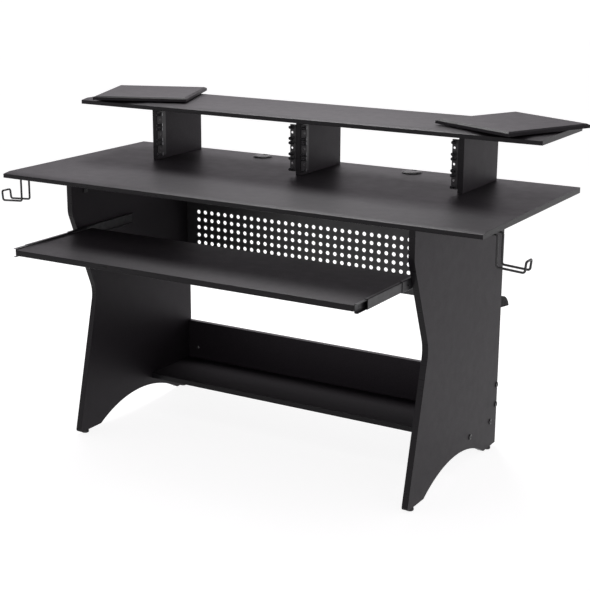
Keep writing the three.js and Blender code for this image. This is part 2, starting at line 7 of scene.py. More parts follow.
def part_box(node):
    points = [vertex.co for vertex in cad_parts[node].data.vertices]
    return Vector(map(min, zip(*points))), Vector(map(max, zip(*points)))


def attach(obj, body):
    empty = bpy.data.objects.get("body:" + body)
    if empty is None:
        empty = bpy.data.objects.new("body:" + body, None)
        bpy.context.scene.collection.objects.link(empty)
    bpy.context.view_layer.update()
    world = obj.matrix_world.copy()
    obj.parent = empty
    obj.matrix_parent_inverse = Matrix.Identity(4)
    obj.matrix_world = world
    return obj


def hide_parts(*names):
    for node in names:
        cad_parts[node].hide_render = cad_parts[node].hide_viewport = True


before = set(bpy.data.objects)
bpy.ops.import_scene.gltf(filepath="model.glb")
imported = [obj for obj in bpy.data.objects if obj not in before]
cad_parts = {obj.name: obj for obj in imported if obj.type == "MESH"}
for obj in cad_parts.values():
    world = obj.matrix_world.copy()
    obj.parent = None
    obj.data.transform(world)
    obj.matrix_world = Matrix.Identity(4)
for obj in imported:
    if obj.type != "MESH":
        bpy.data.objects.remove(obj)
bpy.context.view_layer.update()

# Camera
# The desk is seen from its right and from above the work top, through a long lens that keeps the
# boards' edges nearly parallel. Places are in metres, from the floor under the desk's middle.
top_low, top_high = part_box("desk_top")
top_middle = (top_low.y + top_high.y) / 2
camera_turn = math.radians(30.722)
camera_tilt = math.radians(15.4265)
camera_lean = math.radians(0.287)
camera_place = Vector((1.98583, top_middle - 3.28357, 1.50375))
photo_width = 590
focal_pixels = 1375

sight = Vector((
    -math.sin(camera_turn) * math.cos(camera_tilt),
    math.cos(camera_turn) * math.cos(camera_tilt),
    -math.sin(camera_tilt),
))
level = Vector((math.cos(camera_turn), math.sin(camera_turn), 0))
upright = level.cross(sight)
camera_x = math.cos(camera_lean) * level + math.sin(camera_lean) * upright
camera_y = math.cos(camera_lean) * upright - math.sin(camera_lean) * level
camera_data = bpy.data.cameras.new("camera")
camera_data.sensor_fit = "HORIZONTAL"
camera_data.lens = focal_pixels * camera_data.sensor_width / photo_width
camera_data.clip_end = 60
camera = bpy.data.objects.new("camera", camera_data)
bpy.context.collection.objects.link(camera)
camera_axes = Matrix((camera_x, camera_y, -sight)).transposed().to_4x4()
camera.matrix_world = Matrix.Translation(camera_place) @ camera_axes
bpy.context.scene.camera = camera
bpy.context.scene.view_settings.view_transform = "Standard"

# Floor
# A plain pale floor that runs out of sight. It shows white where nothing shades it, and keeps the desk's
# soft shadow.
floor_reach = 14
floor_shade = 0.4
floor_white = 0.87
floor_mesh = bpy.data.meshes.new("floor")
floor_corners = [(-floor_reach, -floor_reach), (floor_reach, -floor_reach), (floor_reach, floor_reach)]
floor_corners.append((-floor_reach, floor_reach))
floor_mesh.from_pydata([(x, y, 0) for x, y in floor_corners], [], [(0, 1, 2, 3)])
floor = bpy.data.objects.new("floor", floor_mesh)
bpy.context.collection.objects.link(floor)

floor_finish = bpy.data.materials.new("pale_floor")
floor_finish.use_nodes = True
floor_nodes = floor_finish.node_tree.nodes
floor_links = floor_finish.node_tree.links
floor_nodes.clear()
floor_paint = floor_nodes.new("ShaderNodeBsdfDiffuse")
floor_paint.inputs["Color"].default_value = (floor_shade, floor_shade, floor_shade, 1)
floor_glow = floor_nodes.new("ShaderNodeEmission")
floor_glow.inputs["Color"].default_value = (1, 1, 1, 1)
floor_rays = floor_nodes.new("ShaderNodeLightPath")
floor_mirrored = floor_nodes.new("ShaderNodeMath")
floor_mirrored.operation = "MAXIMUM"
floor_links.new(floor_rays.outputs["Is Glossy Ray"], floor_mirrored.inputs[0])
floor_links.new(floor_rays.outputs["Is Transmission Ray"], floor_mirrored.inputs[1])
floor_seen = floor_nodes.new("ShaderNodeMath")
floor_seen.operation = "MAXIMUM"
floor_links.new(floor_rays.outputs["Is Camera Ray"], floor_seen.inputs[0])
floor_links.new(floor_mirrored.outputs[0], floor_seen.inputs[1])
floor_level = floor_nodes.new("ShaderNodeMath")
floor_level.operation = "MULTIPLY"
floor_level.inputs[1].default_value = floor_white
floor_links.new(floor_seen.outputs[0], floor_level.inputs[0])
floor_links.new(floor_level.outputs[0], floor_glow.inputs["Strength"])
floor_sum = floor_nodes.new("ShaderNodeAddShader")
floor_links.new(floor_paint.outputs[0], floor_sum.inputs[0])
floor_links.new(floor_glow.outputs[0], floor_sum.inputs[1])
floor_output = floor_nodes.new("ShaderNodeOutputMaterial")
floor_links.new(floor_sum.outputs[0], floor_output.inputs["Surface"])
floor_mesh.materials.append(floor_finish)

# Studio light
# White walls stand all round the desk under a darker ceiling. The main soft lamp hangs high behind
# the desk's left half, and a wide weaker one over its front.
wall_edge = 0.28
ceiling_edge = 0.48
wall_bright = 1.14
ceiling_bright = 0.22
world = bpy.data.worlds.new("studio")
bpy.context.scene.world = world
world.use_nodes = True
world_nodes = world.node_tree.nodes
world_links = world.node_tree.links
world_nodes.clear()
wall_way = world_nodes.new("ShaderNodeTexCoord")
wall_parts = world_nodes.new("ShaderNodeSeparateXYZ")
world_links.new(wall_way.outputs["Generated"], wall_parts.inputs[0])
wall_rise = world_nodes.new("ShaderNodeMapRange")
wall_rise.inputs["From Min"].default_value = wall_edge
wall_rise.inputs["From Max"].default_value = ceiling_edge
wall_rise.inputs["To Min"].default_value = wall_bright
wall_rise.inputs["To Max"].default_value = ceiling_bright
world_links.new(wall_parts.outputs["Z"], wall_rise.inputs["Value"])
wall_light = world_nodes.new("ShaderNodeBackground")
wall_light.inputs["Color"].default_value = (1, 0.945, 1, 1)
world_links.new(wall_rise.outputs[0], wall_light.inputs["Strength"])
world_output = world_nodes.new("ShaderNodeOutputWorld")
world_links.new(wall_light.outputs[0], world_output.inputs["Surface"])

for lamp_name, lamp_place, lamp_aim, lamp_size, lamp_power in [
    ("lamp_rear", (-0.9, 1.3, 2.7), (0, -0.1, 0.75), (1.6, 1.0), 60),
    ("lamp_overhead", (0.3, -0.7, 2.8), (0, -0.3, 0.7), (1.8, 1.4), 9),
]:
    lamp = bpy.data.lights.new(lamp_name, "AREA")
    lamp.shape = "RECTANGLE"
    lamp.size, lamp.size_y = lamp_size
    lamp.energy = lamp_power
    lamp_object = bpy.data.objects.new(lamp_name, lamp)
    bpy.context.collection.objects.link(lamp_object)
    lamp_object.location = lamp_place
    lamp_way = Vector(lamp_aim) - Vector(lamp_place)
    lamp_object.rotation_euler = lamp_way.to_track_quat("-Z", "Y").to_euler()
    lamp_object.visible_camera = False

# Side panels
# Two 18 mm particle boards with a black melamine face, cut to a waist at the knees and an arch at
# the foot. A black plastic band is glued round the cut edge and its corners are scraped round.
sides = {"left": -1, "right": 1}


def new_finish(name, colour, roughness, metallic=0.0, gloss=0.5):
    """A material with its main values set on the shader's own sockets"""
    material = bpy.data.materials.new(name)
    material.use_nodes = True
    shader = material.node_tree.nodes["Principled BSDF"]
    shader.inputs["Base Color"].default_value = (*colour, 1)
    shader.inputs["Roughness"].default_value = roughness
    shader.inputs["Metallic"].default_value = metallic
    shader.inputs["Specular IOR Level"].default_value = gloss
    return material


def speckle(material, scale, detail=4.0, stretch=(1, 1, 1)):
    """Noise on the piece's own coordinates; scale is in specks for each metre"""
    nodes = material.node_tree.nodes
    links = material.node_tree.links
    place = nodes.new("ShaderNodeTexCoord")
    spread = nodes.new("ShaderNodeMapping")
    spread.inputs["Scale"].default_value = stretch
    links.new(place.outputs["Object"], spread.inputs["Vector"])
    noise = nodes.new("ShaderNodeTexNoise")
    noise.inputs["Scale"].default_value = scale
    noise.inputs["Detail"].default_value = detail
    links.new(spread.outputs["Vector"], noise.inputs["Vector"])
    return noise.outputs["Fac"]


def vary_colour(material, source, dark, light, low=0.35, high=0.65):
    """Colour that runs from dark to light with the noise"""
    ramp = material.node_tree.nodes.new("ShaderNodeValToRGB")
    ramp.color_ramp.elements[0].position = low
    ramp.color_ramp.elements[0].color = (*dark, 1)
    ramp.color_ramp.elements[1].position = high
    ramp.color_ramp.elements[1].color = (*light, 1)
    links = material.node_tree.links
    links.new(source, ramp.inputs["Fac"])
    links.new(ramp.outputs["Color"], material.node_tree.nodes["Principled BSDF"].inputs["Base Color"])


def vary_roughness(material, source, smooth, rough):
    """Roughness that runs between two values with the noise"""
    spread = material.node_tree.nodes.new("ShaderNodeMapRange")
    spread.inputs["From Min"].default_value = 0.3
    spread.inputs["From Max"].default_value = 0.7
    spread.inputs["To Min"].default_value = smooth
    spread.inputs["To Max"].default_value = rough
    links = material.node_tree.links
    links.new(source, spread.inputs["Value"])
    links.new(spread.outputs[0], material.node_tree.nodes["Principled BSDF"].inputs["Roughness"])


def emboss(material, source, depth, strength=1.0):
    """Fine relief from the noise; depth is in metres"""
    bump = material.node_tree.nodes.new("ShaderNodeBump")
    bump.inputs["Strength"].default_value = strength
    bump.inputs["Distance"].default_value = depth
    links = material.node_tree.links
    links.new(source, bump.inputs["Height"])
    links.new(bump.outputs["Normal"], material.node_tree.nodes["Principled BSDF"].inputs["Normal"])


def melamine(name, dark, light, smooth, rough):
    """A printed black board face: faint mottle, handling marks and a pearl embossing"""
    material = new_finish(name, dark, smooth, 0, 0.165)
    shader = material.node_tree.nodes["Principled BSDF"]
    shader.inputs["Specular Tint"].default_value = (0.98, 0.91, 1, 1)
    vary_colour(material, speckle(material, 260, 6), dark, light)
    vary_roughness(material, speckle(material, 34, 6), smooth, rough)
    emboss(material, speckle(material, 1500, 2), 0.00012, 0.35)
    return material


def edge_band(name, colour, smooth, rough, gloss=0.14):
    """Extruded plastic banding: smoother than the face, with fine lines along its length"""
    material = new_finish(name, colour, smooth, 0, gloss)
    vary_roughness(material, speckle(material, 30, 5, (1, 1, 6)), smooth, rough)
    emboss(material, speckle(material, 500, 3, (0.1, 0.1, 1)), 0.00005, 0.4)
    return material


face_dark = (0.0125, 0.0108, 0.0126)
face_light = (0.018, 0.0158, 0.0181)
board_face = melamine("black_melamine", face_dark, face_light, 0.46, 0.5)
board_edge = edge_band("black_edge_band", (0.014, 0.0132, 0.0145), 0.26, 0.34)


def rounded(corners, steps=14):
    """An outline through (u, v, radius) corners, with an arc at each corner that has a radius"""
    points = []
    for index, (u, v, radius) in enumerate(corners):
        here = Vector((u, v))
        if radius == 0:
            points.append(here)
            continue
        before = Vector(corners[index - 1][:2]) - here
        after = Vector(corners[(index + 1) % len(corners)][:2]) - here
        before.normalize()
        after.normalize()
        half = math.acos(max(-1, min(1, before.dot(after)))) / 2
        enter = here + before * radius / math.tan(half)
        leave = here + after * radius / math.tan(half)
        centre = here + (before + after).normalized() * radius / math.sin(half)
        start = enter - centre
        sweep = (leave - centre).angle_signed(start)
        for step in range(steps + 1):
            points.append(centre + Matrix.Rotation(sweep * step / steps, 2) @ start)
    return points


def carried(outline, axis, start, end):
    """A solid whose outline is carried along an axis: x takes (y, z), y takes (x, z), z takes (x, y)"""
    place = {
        "x": lambda u, v, w: (w, u, v),
        "y": lambda u, v, w: (u, w, v),
        "z": lambda u, v, w: (u, v, w),
    }[axis]
    solid = bmesh.new()
    near = [solid.verts.new(place(u, v, start)) for u, v in outline]
    far = [solid.verts.new(place(u, v, end)) for u, v in outline]
    solid.faces.new(near)
    solid.faces.new(far)
    for index in range(len(near)):
        after = (index + 1) % len(near)
        solid.faces.new((near[index], near[after], far[after], far[index]))
    bmesh.ops.recalc_face_normals(solid, faces=solid.faces)
    return solid


def soften(solid, width, segments=2, angle=40):
    """Rounds every edge that is sharper than the angle"""
    solid.normal_update()
    sharp = [edge for edge in solid.edges if edge.calc_face_angle(0) > math.radians(angle)]
    bmesh.ops.bevel(solid, geom=sharp, offset=width, segments=segments, profile=0.5, affect="EDGES")
    return solid


def make_piece(name, solid, materials, smooth=35):
    """An object from a mesh, shaded smooth up to an angle"""
    mesh = bpy.data.meshes.new(name)
    solid.normal_update()
    solid.to_mesh(mesh)
    solid.free()
    for material in materials:
        mesh.materials.append(material)
    mesh.shade_smooth()
    mesh.set_sharp_from_angle(angle=math.radians(smooth))
    piece = bpy.data.objects.new(name, mesh)
    bpy.context.collection.objects.link(piece)
    return piece


def fit(piece, body, slot, *nodes):
    """The piece keeps its flat faces flat, moves with a body and stands for its nodes; the slot is not used
    """
    weigh = piece.modifiers.new("flat_faces", "WEIGHTED_NORMAL")
    weigh.keep_sharp = True
    weigh.weight = 100
    graph = bpy.context.evaluated_depsgraph_get()
    flat_mesh = bpy.data.meshes.new_from_object(piece.evaluated_get(graph))
    piece.modifiers.clear()
    old_mesh = piece.data
    piece.data = flat_mesh
    bpy.data.meshes.remove(old_mesh)
    flat_mesh.name = piece.name
    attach(piece, body)
    if nodes:
        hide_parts(*nodes)
    return piece


def band_edges(piece, face_way):
    """Gives every face that doesn't look along face_way the edge band"""
    for polygon in piece.data.polygons:
        polygon.material_index = 0 if abs(polygon.normal.dot(face_way)) > 0.98 else 1


scraped_edge = 0.0009
heel_round = 0.002
toe_round = 0.009
shoulder_inset = 0.002
shoulder_height = 0.678
shoulder_round = 0.06
waist_depth = 0.1
waist_height = 0.426
waist_round = 0.09
arch_front_land = 0.097
arch_rear_land = 0.085
arch_rise = 0.0545
arch_steps = 36
for side in sides:
    low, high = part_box("side_panel_" + side)
    foot = low.z
    rear = high.y
    front = low.y + shoulder_inset
    arch_start = front + arch_front_land
    arch_end = rear - arch_rear_land
    half_span = (arch_end - arch_start) / 2
    arch_radius = (half_span**2 + arch_rise**2) / (2 * arch_rise)
    arch_middle = (arch_start + arch_end) / 2
    arch_centre = foot + arch_rise - arch_radius
    spread = math.asin(half_span / arch_radius)
    outline = rounded([
        (rear, foot, heel_round),
        (rear, high.z, 0),
        (front, high.z, 0),
        (front, shoulder_height, shoulder_round),
        (front + waist_depth, waist_height, waist_round),
        (low.y, foot, toe_round),
        (arch_start, foot, 0),
    ])
    for step in range(1, arch_steps):
        angle = spread - 2 * spread * step / arch_steps
        across = arch_middle - arch_radius * math.sin(angle)
        outline.append(Vector((across, arch_centre + arch_radius * math.cos(angle))))
    outline.append(Vector((arch_end, foot)))
    solid = soften(carried(outline, "x", low.x, high.x), scraped_edge)
    panel = make_piece("side_panel_board_" + side, solid, [board_face, board_edge])
    band_edges(panel, Vector((1, 0, 0)))
    fit(panel, "desk", "black_board", "side_panel_" + side)

# Floor glides
# Turned black nylon feet under each side panel, driven into the board on a steel pin.
glide_nylon = new_finish("glide_nylon", (0.012, 0.012, 0.012), 0.45)
vary_roughness(glide_nylon, speckle(glide_nylon, 300, 4), 0.4, 0.55)
emboss(glide_nylon, speckle(glide_nylon, 900, 3), 0.0001, 0.5)


def turned(profile, steps=48):
    """A solid turned about Z from (radius, height) points that start and end on the axis"""
    solid = bmesh.new()
    rings = []
    for radius, height in profile:
        if radius == 0:
            rings.append([solid.verts.new((0, 0, height))])
            continue
        angles = [2 * math.pi * step / steps for step in range(steps)]
        rings.append([solid.verts.new((radius * math.cos(a), radius * math.sin(a), height)) for a in angles])
    for lower, upper in zip(rings, rings[1:]):
        for step in range(steps):
            after = (step + 1) % steps
            if len(lower) == 1:
                solid.faces.new((lower[0], upper[step], upper[after]))
            elif len(upper) == 1:
                solid.faces.new((lower[step], lower[after], upper[0]))
            else:
                solid.faces.new((lower[step], lower[after], upper[after], upper[step]))
    bmesh.ops.recalc_face_normals(solid, faces=solid.faces)
    return solid


def seat(place, axis=(0, 0, 1)):
    """The matrix that stands a turned solid at a place, with its own Z along an axis"""
    turn = Vector((0, 0, 1)).rotation_difference(Vector(axis)).to_matrix().to_4x4()
    return Matrix.Translation(Vector(place)) @ turn


def moved(solid, place, axis=(0, 0, 1)):
    """Sets a turned solid at a place, with its own Z along an axis"""
    bmesh.ops.transform(solid, matrix=seat(place, axis), verts=solid.verts)
    return solid


glide_pin = 0.003
glide_sole = 0.003
glide_seat = 0.0004
for side in sides:
    for spot in ("front", "rear"):
        name = "glide_%s_%s" % (spot, side)
        low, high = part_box(name)
        radius = (high.x - low.x) / 2
        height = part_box("side_panel_" + side)[0].z
        profile = [
            (0, 0),
            (radius - glide_sole, 0),
            (radius - 0.001, 0.0006),
            (radius, 0.002),
            (radius, height - 0.0025),
            (radius - 0.0012, height - 0.0006),
            (glide_pin + 0.001, height - glide_seat),
            (glide_pin, high.z),
            (0, high.z),
        ]
        glide = moved(turned(profile), ((low.x + high.x) / 2, (low.y + high.y) / 2, 0))
        fit(make_piece(name + "_foot", glide, [glide_nylon]), "desk", "black_plastic", name)

# Lower shelf and lower back panel
# Two 16 mm boards between the side panels, which hold them square and make an open trough for
# cables. A small hole near each end of the back panel lets a cable through.
def bored(piece, cutters):
    """Cuts the other solids out of a piece"""
    for cutter in cutters:
        tool = make_piece("cutter", cutter, [])
        change = piece.modifiers.new("bore", "BOOLEAN")
        change.operation = "DIFFERENCE"
        change.solver = "EXACT"
        change.object = tool
        graph = bpy.context.evaluated_depsgraph_get()
        cut_mesh = bpy.data.meshes.new_from_object(piece.evaluated_get(graph))
        piece.modifiers.clear()
        old_mesh = piece.data
        piece.data = cut_mesh
        cut_mesh.name = old_mesh.name
        bpy.data.meshes.remove(old_mesh)
        bpy.data.objects.remove(tool)
    return piece


def drill(radius, bottom, top, steps):
    """A round bar that cuts a hole"""
    return turned([(0, bottom), (radius, bottom), (radius, top), (0, top)], steps)


def box_outline(low, high, first, second):
    """The four corners of a box's outline in two of its axes"""
    return [
        Vector((low[first], low[second])),
        Vector((high[first], low[second])),
        Vector((high[first], high[second])),
        Vector((low[first], high[second])),
    ]


low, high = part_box("lower_shelf")
solid = soften(carried(box_outline(low, high, 1, 2), "x", low.x, high.x), scraped_edge)
lower_shelf = make_piece("lower_shelf_board", solid, [board_face, board_edge])
band_edges(lower_shelf, Vector((0, 0, 1)))
fit(lower_shelf, "desk", "black_board", "lower_shelf")

low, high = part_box("lower_back_panel")
solid = soften(carried(box_outline(low, high, 1, 2), "x", low.x, high.x), scraped_edge)
back_panel = make_piece("lower_back_board", solid, [board_face, board_edge])
cable_hole_radius = 0.006
cable_hole_inset = 0.0347
cable_hole_rise = 0.052
cable_bores = []
for way in sides.values():
    hole = drill(cable_hole_radius, -0.02, 0.02, 32)
    place = (way * (high.x - cable_hole_inset), (low.y + high.y) / 2, low.z + cable_hole_rise)
    cable_bores.append(moved(hole, place, (0, 1, 0)))
bored(back_panel, cable_bores)
band_edges(back_panel, Vector((0, 1, 0)))
fit(back_panel, "desk", "black_board", "lower_back_panel")

# Connector bolts
# Black steel bolts with low round heads and a hexagon socket. They run through the side panels
# into the ends of the two lower boards.
black_steel = new_finish("black_bolt_steel", (0.02, 0.02, 0.021), 0.34, 0.6)
vary_roughness(black_steel, speckle(black_steel, 400, 4), 0.26, 0.42)
emboss(black_steel, speckle(black_steel, 1800, 2), 0.00005, 0.3)


def hexagon_cutter(across_flats, bottom, top):
    """A six-sided bar for a socket"""
    corner = across_flats / math.sqrt(3)
    points = [Vector((corner * math.cos(a), corner * math.sin(a))) for a in
              (math.pi * step / 3 for step in range(6))]
    return carried(points, "z", bottom, top)


bolt_shank = 0.0035
bolt_round = 0.0035
bolt_rise = 0.0026
socket_flats = 0.005
socket_depth = 0.0019
for side, way in sides.items():
    for spot in ("shelf_front", "shelf_rear", "back_lower", "back_upper"):
        name = "bolt_%s_%s" % (spot, side)
        low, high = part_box(name)
        head = (high.y - low.y) / 2
        length = high.x - low.x - bolt_rise
        profile = [(0, -length), (bolt_shank, -length), (bolt_shank, 0), (head, 0), (head, bolt_rise * 0.35)]
        for step in range(1, 7):
            angle = math.pi / 2 * step / 6
            crown = bolt_rise * (0.35 + 0.65 * math.sin(angle))
            profile.append((head - bolt_round + bolt_round * math.cos(angle), crown))
        profile.append((0, bolt_rise))
        bolt = make_piece(name + "_steel", turned(profile), [black_steel])
        bored(bolt, [hexagon_cutter(socket_flats, bolt_rise - socket_depth, bolt_rise + 0.002)])
        face = high.x - bolt_rise if way > 0 else low.x + bolt_rise
        bolt.data.transform(seat((face, (low.y + high.y) / 2, (low.z + high.z) / 2), (way, 0, 0)))
        fit(bolt, "desk", "black_steel", name)

# Perforated panel
# One steel sheet with rows of punched round holes, folded back along its four edges, powder
# coated black, and fixed between the side panels at the rear.
powder_coat = new_finish("black_powder_coat", (0.013, 0.0125, 0.0135), 0.42)
vary_colour(powder_coat, speckle(powder_coat, 500, 4), (0.011, 0.0106, 0.0115), (0.016, 0.0155, 0.0165))
vary_roughness(powder_coat, speckle(powder_coat, 25, 6), 0.36, 0.48)
emboss(powder_coat, speckle(powder_coat, 800, 3), 0.00012, 0.4)

panel_low, panel_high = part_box("perforated_panel")
panel_sheet = 0.0015
punch_columns = 40
punch_rows = 5
punch_pitch = 0.025
punch_radius = 0.0064
punch_steps = 24


def punched_sheet(low, high, holes, radius, steps, depth):
    """A flat sheet in X and Z with round holes through it"""
    sheet = bmesh.new()
    corners = box_outline(low, high, 0, 2)
    loops = [[sheet.verts.new((u, low.y, v)) for u, v in corners]]
    for x, z in holes:
        angles = [2 * math.pi * step / steps for step in range(steps)]
        round_hole = [(x + radius * math.cos(a), low.y, z + radius * math.sin(a)) for a in angles]
        loops.append([sheet.verts.new(point) for point in round_hole])
    edges = []
    for loop in loops:
        for index in range(len(loop)):
            edges.append(sheet.edges.new((loop[index], loop[(index + 1) % len(loop)])))
    bmesh.ops.triangle_fill(sheet, use_beauty=True, use_dissolve=False, edges=edges, normal=(0, -1, 0))
    grown = bmesh.ops.extrude_face_region(sheet, geom=sheet.faces[:])
    moving = [item for item in grown["geom"] if isinstance(item, bmesh.types.BMVert)]
    bmesh.ops.translate(sheet, vec=(0, depth, 0), verts=moving)
    bmesh.ops.recalc_face_normals(sheet, faces=sheet.faces)
    return sheet


panel_middle = (panel_low.z + panel_high.z) / 2
punched = []
for row in range(punch_rows):
    for column in range(punch_columns):
        x = (column - (punch_columns - 1) / 2) * punch_pitch
        punched.append((x, panel_middle + ((punch_rows - 1) / 2 - row) * punch_pitch))
fold_radius = 0.002
face_low = Vector((panel_low.x + fold_radius, panel_low.y, panel_low.z + fold_radius))
face_high = Vector((panel_high.x - fold_radius, panel_low.y, panel_high.z - fold_radius))
solid = punched_sheet(face_low, face_high, punched, punch_radius, punch_steps, panel_sheet)
fit(make_piece("panel_sheet", solid, [powder_coat]), "desk", "black_steel", "perforated_panel")


def folded_edge(inner, outer, depth, sheet, steps=6):
    """The section of a sheet that turns back through a round fold: (across, depth) points"""
    points = [Vector((inner, 0))]
    reach = outer - inner
    sense = 1 if reach > 0 else -1
    radius = abs(reach)
    for step in range(steps + 1):
        angle = math.pi / 2 * step / steps
        points.append(Vector((inner + sense * radius * math.sin(angle), radius - radius * math.cos(angle))))
    points.append(Vector((outer, depth)))
    points.append(Vector((outer - sense * sheet, depth)))
    for step in range(steps, -1, -1):
        angle = math.pi / 2 * step / steps
        bend = radius - sheet
        points.append(Vector((inner + sense * bend * math.sin(angle), radius - bend * math.cos(angle))))
    return points


fold_depth = panel_high.y - panel_low.y
for spot, inner, outer in [
    ("top", face_high.z, panel_high.z),
    ("bottom", face_low.z, panel_low.z),
]:
    section = [Vector((panel_low.y + depth, across)) for across, depth in
               folded_edge(inner, outer, fold_depth, panel_sheet)]
    solid = carried(section, "x", face_low.x, face_high.x)
    fit(make_piece("panel_fold_" + spot, solid, [powder_coat]), "desk", "black_steel", "perforated_panel")
for spot, inner, outer in [
    ("left", face_low.x, panel_low.x),
    ("right", face_high.x, panel_high.x),
]:
    section = [Vector((across, panel_low.y + depth)) for across, depth in
               folded_edge(inner, outer, fold_depth, panel_sheet)]
    solid = carried(section, "z", face_low.z, face_high.z)
    fit(make_piece("panel_fold_" + spot, solid, [powder_coat]), "desk", "black_steel", "perforated_panel")

# Desk top
# A 16 mm black melamine board with a long shallow bevel milled along its front edge and two bored
# holes for grommets near the back. Its upright edges are banded.
low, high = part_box("desk_top")
bevel_depth = 0.027
bevel_drop = 0.0042
grommet_bore = 0.0254


def bevelled_board(low, high):
    """The end profile of a board with the long bevel along its front edge"""
    return [
        Vector((low.y, low.z)),
        Vector((high.y, low.z)),
        Vector((high.y, high.z)),
        Vector((low.y + bevel_depth, high.z)),
        Vector((low.y, high.z - bevel_drop)),
    ]


solid = soften(carried(bevelled_board(low, high), "x", low.x, high.x), scraped_edge, 2, 30)
desk_top = make_piece("desk_top_board", solid, [board_face, board_edge], 25)
grommet_bores = []
for side in sides:
    sleeve_low, sleeve_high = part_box("grommet_sleeve_" + side)
    middle = (sleeve_low + sleeve_high) / 2
    bore = drill(grommet_bore, -0.02, 0.02, 64)
    grommet_bores.append(moved(bore, (middle.x, middle.y, (low.z + high.z) / 2)))
bored(desk_top, grommet_bores)
band_edges(desk_top, Vector((0, 0, 1)))
fit(desk_top, "desk", "black_board", "desk_top")

# Angle brackets
# Blackened steel angles in the corners between the side panels and the desk top, each held by two
# pan-head screws.
dark_steel = new_finish("blackened_steel", (0.03, 0.03, 0.031), 0.45, 0.4)
vary_colour(dark_steel, speckle(dark_steel, 140, 5), (0.022, 0.022, 0.023), (0.04, 0.04, 0.041))
vary_roughness(dark_steel, speckle(dark_steel, 60, 6), 0.38, 0.56)
emboss(dark_steel, speckle(dark_steel, 700, 3), 0.00006, 0.4)
zinc = new_finish("zinc_plate", (0.42, 0.43, 0.45), 0.35, 1.0)
vary_colour(zinc, speckle(zinc, 120, 5), (0.36, 0.37, 0.39), (0.5, 0.51, 0.53))
vary_roughness(zinc, speckle(zinc, 60, 6), 0.28, 0.5)
emboss(zinc, speckle(zinc, 700, 3), 0.00006, 0.4)


square = [(-1, -1), (1, -1), (1, 1), (-1, 1)]


def cross_headed(solid, arm, slot_width, bottom, top):
    """Cuts a cross into a screw's head"""
    screw = make_piece("screw", solid, [])
    for across, along in ((arm, slot_width / 2), (slot_width / 2, arm)):
        bar = [Vector((x * across, y * along)) for x, y in square]
        bored(screw, [carried(bar, "z", bottom, top)])
    cut = bmesh.new()
    cut.from_mesh(screw.data)
    bpy.data.objects.remove(screw)
    return cut


def pan_screw(radius, rise, slot_width):
    """A pan-head screw with a cross recess, head up, seated at zero"""
    profile = [(0, -0.006), (radius * 0.42, -0.006), (radius * 0.42, 0), (radius, 0), (radius, rise * 0.45)]
    for step in range(1, 6):
        angle = math.pi / 2 * step / 5
        crown = rise * (0.45 + 0.55 * math.sin(angle))
        profile.append((radius * (0.5 + 0.5 * math.cos(angle)), crown))
    profile.append((0, rise))
    return cross_headed(turned(profile, 24), radius * 0.6, slot_width, rise * 0.35, rise + 0.001)


def copies(solid, places):
    """One solid repeated at (place, axis) pairs, in one mesh"""
    mesh = bpy.data.meshes.new("copied")
    solid.to_mesh(mesh)
    solid.free()
    result = bmesh.new()
    for place, axis in places:
        before = set(result.verts)
        result.from_mesh(mesh)
        fresh = [vert for vert in result.verts if vert not in before]
        bmesh.ops.transform(result, matrix=seat(place, axis), verts=fresh)
    bpy.data.meshes.remove(mesh)
    return result


bracket_sheet = 0.002
bracket_bend = 0.0025
bracket_inner_bend = 0.0008
for side, way in sides.items():
    for spot in ("front", "rear"):
        name = "angle_bracket_%s_%s" % (spot, side)
        low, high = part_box(name)
        wall = high.x if way > 0 else low.x
        tip = low.x if way > 0 else high.x
        section = rounded([
            (wall, high.z, bracket_bend),
            (wall, low.z, 0),
            (wall - way * bracket_sheet, low.z, 0),
            (wall - way * bracket_sheet, high.z - bracket_sheet, bracket_inner_bend),
            (tip, high.z - bracket_sheet, 0),
            (tip, high.z, 0),
        ], 6)
        solid = soften(carried(section, "y", low.y, high.y), 0.0004, 2, 50)
        fit(make_piece(name + "_steel", solid, [dark_steel]), "desk", "black_steel", name)
        middle = (low.y + high.y) / 2
        hole_drop = (high.z - low.z) * 2 / 3
        hole_reach = (high.x - low.x) * 2 / 3
        screws = copies(pan_screw(radius=0.0038, rise=0.0022, slot_width=0.0011), [
            ((wall - way * bracket_sheet, middle, high.z - hole_drop), (-way, 0, 0)),
            ((wall - way * hole_reach, middle, high.z - bracket_sheet), (0, 0, -1)),
        ])
        fit(make_piece(name + "_screws", screws, [dark_steel]), "desk", "black_steel", name)

# Cable grommets
# Moulded black plastic: a flanged sleeve pressed into the desk top, and a cap that turns in it and
# has a slot for cables at its rim.
moulded = new_finish("moulded_black_plastic", (0.014, 0.0138, 0.0145), 0.4)
vary_roughness(moulded, speckle(moulded, 60, 5), 0.36, 0.5)
emboss(moulded, speckle(moulded, 1300, 3), 0.0001, 0.5)

slot_half = 0.008
slot_inner = 0.009
slot_round = 0.003
sleeve_bore = 0.0221
sleeve_outside = 0.0251
cap_seat = 0.0266
cap_rim = 0.0261
cap_rim_inside = 0.0226
cap_under = 0.0018
skirt_inside = 0.0198
skirt_outside = 0.0216


def closed_ring(profile, steps=64):
    """A ring turned about Z from a closed profile of (radius, height) points"""
    solid = bmesh.new()
    rings = []
    for radius, height in profile:
        angles = [2 * math.pi * step / steps for step in range(steps)]
        rings.append([solid.verts.new((radius * math.cos(a), radius * math.sin(a), height)) for a in angles])
    for index, ring in enumerate(rings):
        after_ring = rings[(index + 1) % len(rings)]
        for step in range(steps):
            after = (step + 1) % steps
            solid.faces.new((ring[step], ring[after], after_ring[after], after_ring[step]))
    bmesh.ops.recalc_face_normals(solid, faces=solid.faces)
    return solid


